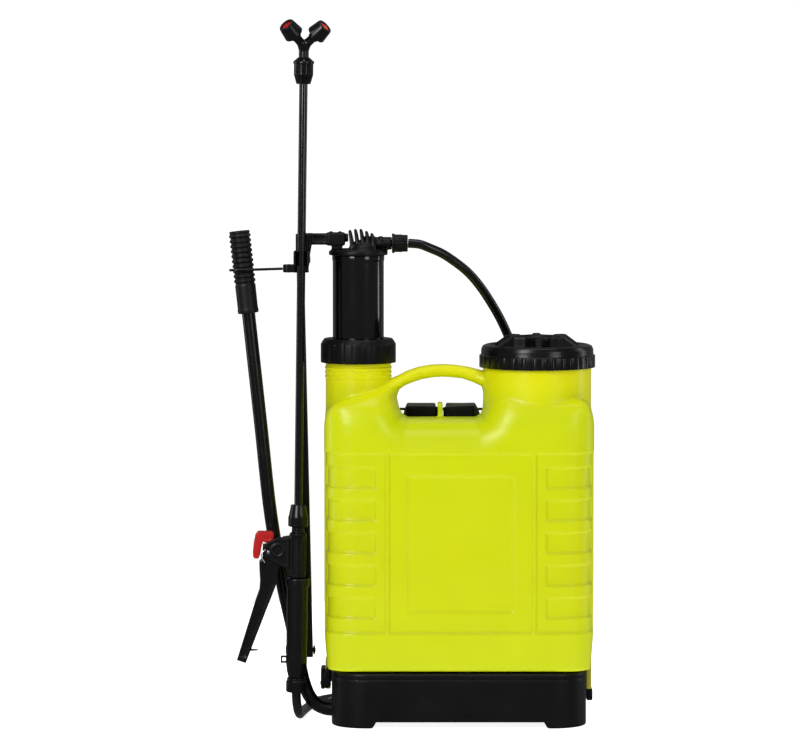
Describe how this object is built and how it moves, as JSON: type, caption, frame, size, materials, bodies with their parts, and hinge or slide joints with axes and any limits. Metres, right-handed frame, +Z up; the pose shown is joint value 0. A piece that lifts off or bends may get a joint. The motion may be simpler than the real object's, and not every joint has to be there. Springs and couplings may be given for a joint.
{
  "type": "backpack sprayer",
  "caption": "Lever-operated backpack sprayer: rounded tank on a base, piston pump with air chamber, side lever, hose, spray lance with a trigger and a forked nozzle head.",
  "frame": {"origin": "middle of the outline's rectangle in plan without the hose, on the ground", "axes": "+Z up; -Y the tank's front, +Y the wearer's back; -X the side of the pump lever and lance"},
  "size_m": [0.4392, 0.2408, 0.8427],
  "materials": {
    "tank_plastic": "satin blow-moulded polyethylene",
    "black_plastic": "satin black moulded plastic",
    "black_tube": "glossy black tube",
    "hose_plastic": "smooth black hose",
    "rubber": "matte black rubber",
    "white_plastic": "natural white plastic",
    "steel": "bright steel",
    "red_plastic": "red moulded plastic",
    "orange_plastic": "orange-red moulded plastic",
    "webbing": "black woven webbing",
    "foam": "black cloth over foam"
  },
  "bodies": {
    "tank_unit": {"tank": "tank_plastic", "base": "black_plastic", "base_screw_left": "steel", "base_screw_right": "steel", "shaft_bush_outer": "white_plastic", "shaft_bush_inner": "white_plastic", "pump_barrel": "white_plastic", "barrel_gasket": "rubber", "pump_nut": "black_plastic", "intake_valve": "white_plastic", "intake_ball": "steel", "intake_strainer": "white_plastic", "filler_strainer": "black_plastic", "strap_bar": "steel", "strap_left": "webbing", "strap_right": "webbing", "shoulder_pad_left": "foam", "shoulder_pad_right": "foam", "lower_strap_left": "webbing", "lower_strap_right": "webbing", "strap_buckle_left": "black_plastic", "strap_buckle_right": "black_plastic", "strap_hook_left": "black_plastic", "strap_hook_right": "black_plastic", "hose": "hose_plastic"},
    "air_chamber_unit": {"air_chamber": "black_tube", "piston": "white_plastic", "piston_seal": "rubber", "delivery_ball": "steel", "outlet_pipe": "white_plastic", "chamber_cap": "black_plastic", "outlet_nut": "black_plastic", "pump_arm": "black_plastic", "arm_pin": "steel"},
    "hook": {"lever_hook": "black_tube"},
    "lever": {"lever_tube": "black_tube", "lever_grip": "rubber", "crank_bolt": "steel", "crank_nut": "steel", "shaft_clip": "steel"},
    "link": {"link_rod": "black_tube", "rod_top_bolt": "steel"},
    "wand": {"hose_nut": "black_plastic", "valve_body": "black_plastic", "trigger_pin": "steel", "valve_stem": "steel", "valve_spring": "steel", "handle_shell": "black_plastic", "lance_nut": "black_plastic", "lance_tube": "black_tube", "head_nut": "black_plastic"},
    "trigger": {"trigger": "black_plastic"},
    "trigger_lock": {"trigger_lock": "red_plastic"},
    "spray_head": {"y_head": "black_plastic"},
    "nozzle_left": {"nozzle_cap_left": "black_plastic", "nozzle_disc_left": "red_plastic"},
    "nozzle_right": {"nozzle_cap_right": "black_plastic", "nozzle_disc_right": "orange_plastic"},
    "cap_seat": {"cap_gasket": "rubber"},
    "filler_cap": {"filler_cap": "black_plastic"}
  },
  "joints": [
    {"name": "lever_swing", "type": "hinge", "parent": "tank_unit", "child": "lever", "pos_m": [-0.09388, -0.02225, 0.013], "axis": [-1, 0, 0], "range_deg": [0, 78]},
    {"name": "link_pivot", "type": "hinge", "parent": "lever", "child": "link", "pos_m": [-0.12388, -0.02225, 0.085], "axis": [-1, 0, 0], "range_deg": [-88, 0]},
    {"name": "chamber_slide", "type": "slide", "parent": "tank_unit", "child": "air_chamber_unit", "axis": [0, 0, 1], "range_m": [-0.064, 0], "deforming": ["hose"]},
    {"name": "hook_swing", "type": "hinge", "parent": "air_chamber_unit", "child": "hook", "pos_m": [-0.14928, -0.03825, 0.5456], "axis": [0, 0, 1], "range_deg": [0, 95]},
    {"name": "wand_tilt", "type": "hinge", "parent": "tank_unit", "child": "wand", "pos_m": [-0.13898, -0.05025, 0.046], "axis": [1, 0, 0], "range_deg": [0, 20]},
    {"name": "trigger_squeeze", "type": "hinge", "parent": "wand", "child": "trigger", "pos_m": [-0.17189, -0.05025, 0.20746], "axis": [0, -1, 0], "range_deg": [0, 15], "stiffness_Nm_per_rad": 1.2, "springref_deg": -8.59},
    {"name": "lock_flip", "type": "hinge", "parent": "trigger", "child": "trigger_lock", "pos_m": [-0.17055, -0.05025, 0.22545], "axis": [0, 1, 0], "range_deg": [0, 70]},
    {"name": "head_turn", "type": "hinge", "parent": "wand", "child": "spray_head", "pos_m": [-0.12861, -0.05025, 0.81043], "axis": [0.0136, 0, 0.9999], "range_deg": [-90, 90]},
    {"name": "nozzle_left_turn", "type": "hinge", "parent": "spray_head", "child": "nozzle_left", "pos_m": [-0.12861, -0.05025, 0.81043], "axis": [-0.5615, -0.4447, 0.6978], "range_deg": [0, 180]},
    {"name": "nozzle_right_turn", "type": "hinge", "parent": "spray_head", "child": "nozzle_right", "pos_m": [-0.12861, -0.05025, 0.81043], "axis": [0.6934, -0.2988, 0.6557], "range_deg": [0, 180]},
    {"name": "cap_lift", "type": "slide", "parent": "tank_unit", "child": "cap_seat", "axis": [0, 0, 1], "range_m": [0, 0.0095]},
    {"name": "cap_turn", "type": "hinge", "parent": "cap_seat", "child": "filler_cap", "pos_m": [0.15012, -0.02225, 0.45], "axis": [0, 0, 1], "range_deg": [0, 540]}
  ],
  "couplings": [
    {"joint": "link_pivot", "follows": "lever_swing", "ratio": -1.1094},
    {"joint": "chamber_slide", "follows": "lever_swing", "m_per_rad": -0.04576},
    {"joint": "cap_lift", "follows": "cap_turn", "m_per_rad": 0.00095493}
  ]
}
